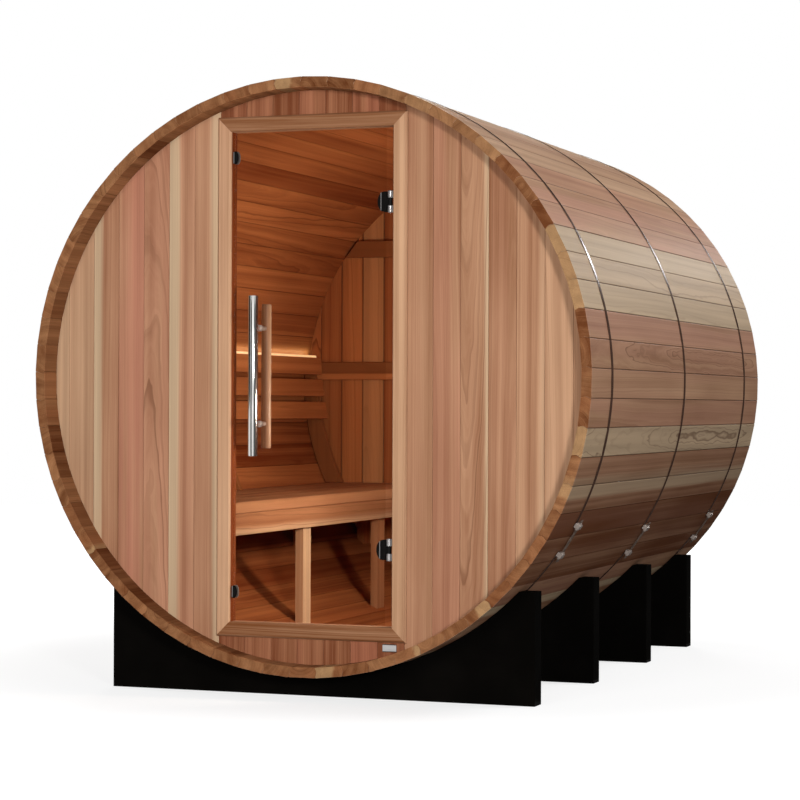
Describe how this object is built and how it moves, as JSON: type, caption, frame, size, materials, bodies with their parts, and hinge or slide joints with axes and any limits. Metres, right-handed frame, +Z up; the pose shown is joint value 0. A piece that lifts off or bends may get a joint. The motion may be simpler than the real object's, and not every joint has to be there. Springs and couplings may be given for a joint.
{
  "type": "barrel sauna",
  "caption": "Round cedar sauna cabin lying on cradles, with a glass door in its end wall and a bench with a backrest inside.",
  "frame": {"origin": "on the ground, under the middle of the barrel", "axes": "+X right as one faces the door, +Y from the door to the back wall along the barrel, +Z up"},
  "size_m": [1.9028, 2.4, 1.9735],
  "materials": {
    "stave_cedar": "natural, weathered",
    "wall_cedar": "natural",
    "trim_cedar": "natural, planed",
    "bench_cedar": "natural, planed",
    "handle_wood": "turned",
    "black_paint": "painted matte black",
    "hoop_steel": "dark oxide",
    "bright_steel": "zinc plated",
    "hinge_steel": "polished",
    "handle_chrome": "polished",
    "black_metal": "satin black",
    "lamp_diffuser": "warm white diffuser",
    "plate_metal": "plain",
    "door_glass": "bronze tint"
  },
  "bodies": {
    "cabin": {"staves_1": "stave_cedar", "staves_2": "stave_cedar", "staves_3": "stave_cedar", "staves_4": "stave_cedar", "staves_5": "stave_cedar", "front_wall_left": "wall_cedar", "front_wall_right": "wall_cedar", "front_wall_over_door": "wall_cedar", "front_wall_under_door": "wall_cedar", "back_wall": "wall_cedar", "back_wall_battens": "wall_cedar", "door_jambs": "trim_cedar", "door_head_and_sill": "trim_cedar", "door_trim_sides": "trim_cedar", "door_trim_head_and_sill": "trim_cedar", "hinge_brackets": "hinge_steel", "cradle_1": "black_paint", "cradle_2": "black_paint", "cradle_3": "black_paint", "cradle_4": "black_paint", "hoop_1": "hoop_steel", "hoop_2": "hoop_steel", "hoop_3": "hoop_steel", "hoop_tensioner_1": "bright_steel", "hoop_tensioner_2": "bright_steel", "hoop_tensioner_3": "bright_steel", "bench_seat": "bench_cedar", "bench_apron": "bench_cedar", "bench_bearers": "bench_cedar", "bench_front_legs": "bench_cedar", "bench_rear_legs": "bench_cedar", "backrest_ribs": "bench_cedar", "backrest_slats": "bench_cedar", "light_strip": "lamp_diffuser", "label_plate": "plate_metal"},
    "door": {"door_glass": "door_glass", "handle_tube_outside": "handle_chrome", "handle_bar_inside": "handle_wood", "handle_standoffs": "handle_chrome", "hinge_clamps": "black_metal", "door_catches": "black_metal"}
  },
  "joints": [
    {"name": "door_hinge", "type": "hinge", "parent": "cabin", "child": "door", "pos_m": [0.2635, -1.112, 1.022], "axis": [0, 0, 1], "range_deg": [0, 95]}
  ]
}
